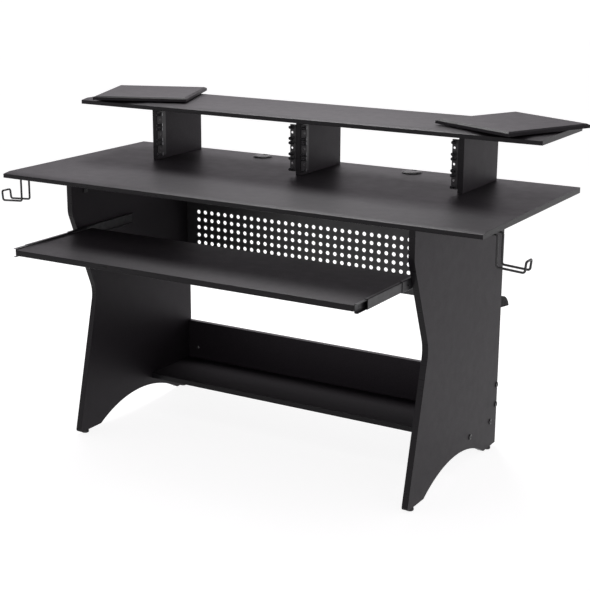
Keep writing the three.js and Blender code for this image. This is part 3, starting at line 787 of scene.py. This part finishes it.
for side in sides:
    name = "grommet_sleeve_" + side
    low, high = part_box(name)
    centre = ((low.x + high.x) / 2, (low.y + high.y) / 2, top_high.z)
    flange = (high.x - low.x) / 2
    height = high.z - top_high.z
    depth = low.z - top_high.z
    ring = closed_ring([
        (sleeve_bore, depth),
        (sleeve_outside - 0.0005, depth),
        (sleeve_outside, depth + 0.002),
        (sleeve_outside, 0.0003),
        (flange - 0.0004, 0.0003),
        (flange, 0.0009),
        (flange - 0.0007, height - 0.0012),
        (flange - 0.0018, height - 0.0003),
        (flange - 0.003, height),
        (cap_seat + 0.0001, height),
        (cap_seat, height - 0.0003),
        (cap_seat, 0.0015),
        (sleeve_bore, 0.0015),
    ])
    fit(make_piece(name + "_moulding", moved(ring, centre), [moulded]), "desk", "black_plastic", name)

    name = "grommet_cap_" + side
    low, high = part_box(name)
    skirt_end = low.z - top_high.z
    crown = high.z - top_high.z
    cap = make_piece(name + "_moulding", turned([
        (0, cap_under),
        (skirt_inside, cap_under),
        (skirt_inside, skirt_end),
        (skirt_outside, skirt_end),
        (skirt_outside, cap_under),
        (cap_rim, cap_under),
        (cap_rim, crown - 0.0012),
        (cap_rim - 0.0003, crown - 0.0005),
        (cap_rim - 0.001, crown),
        (cap_rim_inside, crown),
        (cap_rim_inside - 0.0004, crown - 0.0003),
        (0, crown - 0.0003),
    ], 64), [moulded])
    slot_outline = rounded([
        (-slot_half, slot_inner, slot_round),
        (slot_half, slot_inner, slot_round),
        (slot_half, 0.03, 0),
        (-slot_half, 0.03, 0),
    ], 6)
    bored(cap, [carried(slot_outline, "z", -0.02, 0.02)])
    cap.data.transform(Matrix.Translation(Vector(centre)))
    fit(cap, "grommet_cap_" + side, "black_plastic", name)

# Risers and top shelf
# Three upright 16 mm boards on the desk top carry the shelf, and part the space under it into two
# equipment bays. The shelf's front edge has the desk top's bevel.
for spot in ("left", "centre", "right"):
    name = "riser_" + spot
    low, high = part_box(name)
    solid = soften(carried(box_outline(low, high, 1, 2), "x", low.x, high.x), scraped_edge)
    riser = make_piece(name + "_board", solid, [board_face, board_edge])
    band_edges(riser, Vector((1, 0, 0)))
    fit(riser, "desk", "black_board", name)

low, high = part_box("top_shelf")
solid = soften(carried(bevelled_board(low, high), "x", low.x, high.x), scraped_edge, 2, 30)
top_shelf = make_piece("top_shelf_board", solid, [board_face, board_edge], 25)
band_edges(top_shelf, Vector((0, 0, 1)))
fit(top_shelf, "desk", "black_board", "top_shelf")

# Rack rails and rack screws
# Folded steel angles on the risers' faces, drilled to the rack pattern. Each unit's outer holes
# hold a rack screw in a square nut, with a cup washer, left standing out. Its middle hole is empty.
rack_pitch = 0.04445
rack_units = 3
screw_shares = (1 / 7, 6 / 7)
rack_hole = 0.0034
rack_inset = 0.01245
rail_overlap = 0.0012
rail_reach = 0.0187
rail_sheet = 0.002
rail_bend = 0.003
washer_rise = 0.002
thread_pitch = 0.001
thread_behind = 0.006
rack_screw_head = 0.0046
rack_screw_rise = 0.0055
nut_half = 0.005
bright_black = new_finish("black_screw_steel", (0.03, 0.03, 0.032), 0.26, 0.75)
vary_colour(bright_black, speckle(bright_black, 900, 4), (0.022, 0.022, 0.024), (0.04, 0.04, 0.042))
vary_roughness(bright_black, speckle(bright_black, 500, 4), 0.2, 0.36)


def rack_screw(shank, length, head, rise):
    """A threaded shank under a pan head with a cross recess, standing out along Z from zero"""
    root = shank - 0.0005
    profile = [(0, -thread_behind), (shank - 0.0004, -thread_behind)]
    for thread in range(round((length + thread_behind) / thread_pitch)):
        height = -thread_behind + thread * thread_pitch
        profile.append((root, height + 0.0001))
        profile.append((shank, height + 0.0005))
        profile.append((root, height + 0.0009))
    profile.append((root, length))
    profile.append((head - 0.0002, length))
    profile.append((head, length + 0.0003))
    for step in range(1, 7):
        angle = math.pi / 2 * step / 6
        crown = length + rise * (0.4 + 0.6 * math.sin(angle))
        profile.append((head * (0.45 + 0.55 * math.cos(angle)), crown))
    profile.append((0, length + rise))
    return cross_headed(turned(profile, 20), 0.0028, 0.0012, length + rise * 0.45, length + rise + 0.001)


for bay, riser, way in [
    ("left_bay_left", "riser_left", 1),
    ("left_bay_right", "riser_centre", -1),
    ("right_bay_left", "riser_centre", 1),
    ("right_bay_right", "riser_right", -1),
]:
    name = "rack_rail_" + bay
    low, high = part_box(name)
    riser_low, riser_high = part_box(riser)
    face = riser_high.x if way > 0 else riser_low.x
    wall = low.x if way > 0 else high.x
    tip = wall + way * rail_reach
    back = wall + way * rail_sheet
    front = riser_low.y
    base = low.z + rail_overlap
    section = rounded([
        (wall, high.y, 0),
        (wall, front, rail_bend),
        (tip, front, 0),
        (tip, front + rail_sheet, 0),
        (back, front + rail_sheet, rail_bend - rail_sheet),
        (back, high.y, 0),
    ], 6)
    solid = soften(carried(section, "z", low.z, high.z), 0.0003, 1, 60)
    rail = make_piece(name + "_steel", solid, [powder_coat])
    hole_x = face + way * rack_inset
    bores = []
    washers = []
    for unit in range(rack_units):
        middle = (hole_x, front, base + (unit + 1 / 2) * rack_pitch)
        bores.append(moved(drill(rack_hole, -0.01, 0.01, 32), middle, (0, 1, 0)))
        for share in screw_shares:
            washers.append(((hole_x, front, base + (unit + share) * rack_pitch), (0, -1, 0)))
    bored(rail, bores)
    fit(rail, "desk", "black_steel", name)
    washer = turned([
        (0, -0.0002),
        (0.0062, -0.0002),
        (0.0064, 0.0004),
        (0.0059, 0.0016),
        (0.0052, washer_rise),
        (0.0042, washer_rise),
        (0.0034, 0.0012),
        (0, 0.0012),
    ], 32)
    fit(make_piece(name + "_washers", copies(washer, washers), [moulded]), "desk", "black_plastic", name)
    length = front - low.y - rack_screw_rise
    screws = copies(rack_screw(0.003, length, rack_screw_head, rack_screw_rise), washers)
    fit(make_piece(name + "_screws", screws, [bright_black]), "desk", "black_steel", name)
    nut_outline = rounded([(x * nut_half, y * nut_half, 0.001) for x, y in square], 3)
    nuts = copies(carried(nut_outline, "z", -0.0055, -0.0021), washers)
    fit(make_piece(name + "_nuts", nuts, [zinc]), "desk", "zinc_steel", name)

# Speaker platforms
# Square boards with a chamfered upper edge, toed in on swivel plates. The lower plate is fixed to
# the shelf, its centre pin stands in a bore in the platform, and the upper plate turns with it.
platform_toes = {"left": math.radians(22), "right": math.radians(-25)}
platform_band = edge_band("black_platform_band", (0.022, 0.0205, 0.0225), 0.4, 0.48, 0.06)
platform_width = 0.29
platform_depth = 0.295
platform_face = 0.0082
platform_chamfer = 0.008
pin_radius = 0.008
pin_bore = 0.0085
pin_clearance = 0.0004
plate_radius = 0.075
plate_bore = 0.0083
plate_round = 0.0006
for side in sides:
    low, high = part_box("speaker_platform_" + side)
    centre = (low + high) / 2
    thickness = high.z - low.z
    slab = bmesh.new()
    rings = []
    for height, inset in [(0, 0), (platform_face, 0), (thickness, platform_chamfer)]:
        half_width = platform_width / 2 - inset
        half_depth = platform_depth / 2 - inset
        rings.append([slab.verts.new((x * half_width, y * half_depth, height)) for x, y in square])
    slab.faces.new(rings[0][::-1])
    slab.faces.new(rings[-1])
    for lower, upper in zip(rings, rings[1:]):
        for index in range(4):
            after = (index + 1) % 4
            slab.faces.new((lower[index], lower[after], upper[after], upper[index]))
    bmesh.ops.recalc_face_normals(slab, faces=slab.faces)
    soften(slab, 0.0008, 2, 20)
    turn = Matrix.Rotation(platform_toes[side], 4, "Z")
    place = Matrix.Translation(Vector((centre.x, centre.y, low.z)))
    bmesh.ops.transform(slab, matrix=place @ turn, verts=slab.verts)
    platform = make_piece("speaker_platform_board_" + side, slab, [board_face, platform_band], 20)
    base_low, base_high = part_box("swivel_base_" + side)
    plate_low, plate_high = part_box("swivel_plate_" + side)
    pin_depth = base_high.z - low.z + pin_clearance
    bored(platform, [moved(drill(pin_bore, -0.01, pin_depth, 72), (centre.x, centre.y, low.z))])
    band_edges(platform, Vector((0, 0, 1)))
    fit(platform, "platform_" + side, "black_board", "speaker_platform_" + side)

    sheet = plate_high.z - plate_low.z
    pin_height = base_high.z - base_low.z
    disc = turned([
        (0, 0),
        (plate_radius, 0),
        (plate_radius, sheet * 0.7),
        (plate_radius - plate_round, sheet),
        (pin_radius + 0.006, sheet),
        (pin_radius, sheet + 0.0002),
        (pin_radius, pin_height),
        (0, pin_height),
    ], 72)
    disc = moved(disc, (centre.x, centre.y, base_low.z))
    fit(make_piece("swivel_base_disc_" + side, disc, [zinc]), "desk", "zinc_steel", "swivel_base_" + side)
    ring = closed_ring([
        (plate_bore, 0),
        (plate_radius, 0),
        (plate_radius, sheet * 0.7),
        (plate_radius - plate_round, sheet),
        (plate_bore, sheet),
    ], 72)
    ring = moved(ring, (centre.x, centre.y, plate_low.z))
    fit(make_piece("swivel_top_ring_" + side, ring, [zinc]), "platform_" + side, "zinc_steel",
        "swivel_plate_" + side)

# Keyboard tray
# A 16 mm black melamine board, banded all round, that hangs between two slides. It is shown
# pulled out.
low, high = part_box("keyboard_tray")
solid = soften(carried(box_outline(low, high, 1, 2), "x", low.x, high.x), scraped_edge)
tray = make_piece("keyboard_tray_board", solid, [board_face, board_edge])
band_edges(tray, Vector((0, 0, 1)))
fit(tray, "tray", "black_board", "keyboard_tray")

# Telescopic slides
# Three rolled steel channels on each side, one inside the other, in black zinc. The outer one is
# screwed to the side panel and the inner one to the tray's edge, with heads that lie nearly flush.
black_zinc = new_finish("black_zinc", (0.028, 0.028, 0.03), 0.36, 0.6)
vary_roughness(black_zinc, speckle(black_zinc, 120, 5, (1, 0.1, 1)), 0.28, 0.44)
vary_colour(black_zinc, speckle(black_zinc, 60, 5), (0.021, 0.021, 0.0225), (0.036, 0.036, 0.038))
emboss(black_zinc, speckle(black_zinc, 600, 3, (1, 0.08, 1)), 0.00005, 0.4)
slide_sheet = 0.0012
roll_radius = 0.0024
screw_insets = {"outer": 0.03, "inner": 0.022}


def rolled_channel(web, lips, bottom, top):
    """A channel's section in X and Z, with rolled corners and lips that stop square"""
    inward = 1 if lips > web else -1
    inner = web + inward * slide_sheet
    tight = roll_radius - slide_sheet
    return rounded([
        (web, bottom, roll_radius),
        (lips, bottom, 0),
        (lips, bottom + slide_sheet, 0),
        (inner, bottom + slide_sheet, tight),
        (inner, top - slide_sheet, tight),
        (lips, top - slide_sheet, 0),
        (lips, top, 0),
        (web, top, roll_radius),
    ], 5)


for side, way in sides.items():
    for member, body in (("outer", "desk"), ("middle", "slide_middle_" + side), ("inner", "tray")):
        name = "slide_%s_%s" % (member, side)
        low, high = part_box(name)
        to_tray = member == "inner"
        web = (low.x if to_tray else high.x) if way > 0 else (high.x if to_tray else low.x)
        lips = (high.x if to_tray else low.x) if way > 0 else (low.x if to_tray else high.x)
        section = rolled_channel(web, lips, low.z, high.z)
        channel = make_piece(name + "_channel", carried(section, "y", low.y, high.y), [black_zinc])
        fit(channel, body, "black_steel", name)
        inward = 1 if lips > web else -1
        screw_face = web + inward * slide_sheet
        if member in screw_insets:
            inset = screw_insets[member]
            length = high.y - low.y
            spots = [low.y + inset + (length - 2 * inset) * share for share in (0, 1 / 2, 1)]
            height = (low.z + high.z) / 2
            places = [((screw_face, y, height), (inward, 0, 0)) for y in spots]
            screws = copies(pan_screw(radius=0.0036, rise=0.0003, slot_width=0.001), places)
            fit(make_piece(name + "_screws", screws, [black_steel]), body, "black_steel", name)

# Headphone hooks
# One 6 mm black steel wire each, bent into a double hook and held under the end of the desk top by
# a steel strap with two screws.
wire_coat = new_finish("black_wire_coat", (0.012, 0.012, 0.0125), 0.3)
vary_roughness(wire_coat, speckle(wire_coat, 300, 4), 0.25, 0.38)
wire_radius = 0.003
wire_bend = 0.006
wire_fall = 0.005
wire_tip = 0.028
wire_lean = 0.003
wire_clearance = 0.005
strap_sheet = 0.0016
strap_tab = 0.012
strap_bend = 0.0022
strap_inner_bend = 0.0006


def swept_wire(corners, radius, bend, steps=8, sides_round=16):
    """A round wire along straight runs that are joined by round bends"""
    path = [corners[0]]
    for before, here, after in zip(corners, corners[1:], corners[2:]):
        back = (before - here).normalized()
        ahead = (after - here).normalized()
        half = back.angle(ahead) / 2
        arc_radius = bend * math.tan(half)
        centre = here + (back + ahead).normalized() * arc_radius / math.sin(half)
        enter = here + back * bend
        leave = here + ahead * bend
        axis = (enter - centre).cross(leave - centre).normalized()
        sweep = (enter - centre).angle(leave - centre)
        for step in range(steps + 1):
            turn = Matrix.Rotation(sweep * step / steps, 3, axis)
            path.append(centre + turn @ (enter - centre))
    path.append(corners[-1])
    wire = bmesh.new()
    normal = (path[1] - path[0]).orthogonal().normalized()
    heading = (path[1] - path[0]).normalized()
    rings = []
    for index, point in enumerate(path):
        before = path[max(index - 1, 0)]
        after = path[min(index + 1, len(path) - 1)]
        fresh = (after - before).normalized()
        normal = heading.rotation_difference(fresh) @ normal
        heading = fresh
        other = heading.cross(normal)
        ring = []
        for step in range(sides_round):
            angle = 2 * math.pi * step / sides_round
            outward = math.cos(angle) * normal + math.sin(angle) * other
            ring.append(wire.verts.new(point + radius * outward))
        rings.append(ring)
    for lower, upper in zip(rings, rings[1:]):
        for step in range(sides_round):
            after = (step + 1) % sides_round
            wire.faces.new((lower[step], lower[after], upper[after], upper[step]))
    wire.faces.new(rings[0][::-1])
    wire.faces.new(rings[-1])
    bmesh.ops.recalc_face_normals(wire, faces=wire.faces)
    return wire


for side, way in sides.items():
    name = "headphone_hook_" + side
    low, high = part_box(name)
    upper = high.z - wire_radius
    lower = low.z + wire_radius
    start = low.x if way > 0 else high.x
    drop_x = way * (top_high.x + wire_clearance)
    tip_x = (high.x - wire_radius) if way > 0 else (low.x + wire_radius)
    cradle_x = tip_x - way * wire_lean
    near_run, far_run = [
        [
            Vector((start, y, upper)),
            Vector((drop_x, y, upper)),
            Vector((drop_x, y, lower + wire_fall)),
            Vector((cradle_x, y, lower)),
            Vector((tip_x, y, lower + wire_tip)),
        ]
        for y in (low.y + wire_radius, high.y - wire_radius)
    ]
    wire = swept_wire(near_run + far_run[::-1], wire_radius, wire_bend)
    fit(make_piece(name + "_wire", wire, [wire_coat]), "desk", "black_steel", name)

    name = "hook_strap_" + side
    low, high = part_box(name)
    near = low.y + strap_tab
    far = high.y - strap_tab
    tab_under = high.z - strap_sheet
    section = rounded([
        (low.y, high.z, 0),
        (low.y, tab_under, 0),
        (near, tab_under, strap_inner_bend),
        (near, low.z, strap_bend),
        (far, low.z, strap_bend),
        (far, tab_under, strap_inner_bend),
        (high.y, tab_under, 0),
        (high.y, high.z, 0),
        (far - strap_sheet, high.z, strap_bend),
        (far - strap_sheet, low.z + strap_sheet, strap_inner_bend),
        (near + strap_sheet, low.z + strap_sheet, strap_inner_bend),
        (near + strap_sheet, high.z, strap_bend),
    ], 4)
    solid = soften(carried(section, "x", low.x, high.x), 0.0003, 1, 60)
    fit(make_piece(name + "_steel", solid, [powder_coat]), "desk", "black_steel", name)
    middle = (low.x + high.x) / 2
    screw_spots = (low.y + strap_tab / 2, high.y - strap_tab / 2)
    places = [((middle, y, tab_under), (0, 0, -1)) for y in screw_spots]
    screws = copies(pan_screw(radius=0.0036, rise=0.002, slot_width=0.001), places)
    fit(make_piece(name + "_screws", screws, [black_steel]), "desk", "black_steel", name)

# Wall bumpers
# Quarter-round black rubber mouldings on the rear edges of the side panels, which keep the desk
# off the wall.
bumper_rubber = new_finish("bumper_rubber", (0.008, 0.008, 0.008), 0.7, 0, 0.1)
vary_colour(bumper_rubber, speckle(bumper_rubber, 200, 5), (0.004, 0.004, 0.004), (0.007, 0.007, 0.007))
vary_roughness(bumper_rubber, speckle(bumper_rubber, 90, 5), 0.5, 0.7)
emboss(bumper_rubber, speckle(bumper_rubber, 900, 4), 0.00015, 0.5)
bumper_sag = 0.008
bumper_steps = 24
for side in sides:
    name = "wall_bumper_" + side
    low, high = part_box(name)
    under = low.z + bumper_sag
    tip = Vector((high.y, low.z))
    bulge = Vector((low.y + 0.8 * (high.y - low.y), under + 0.9 * (high.z - under)))
    crest = Vector((low.y, high.z))
    outline = [Vector((low.y, under))]
    for step in range(bumper_steps + 1):
        share = step / bumper_steps
        outline.append(tip.lerp(bulge, share).lerp(bulge.lerp(crest, share), share))
    solid = soften(carried(outline, "x", low.x, high.x), 0.0012, 2, 40)
    fit(make_piece(name + "_moulding", solid, [bumper_rubber]), "desk", "black_plastic", name)
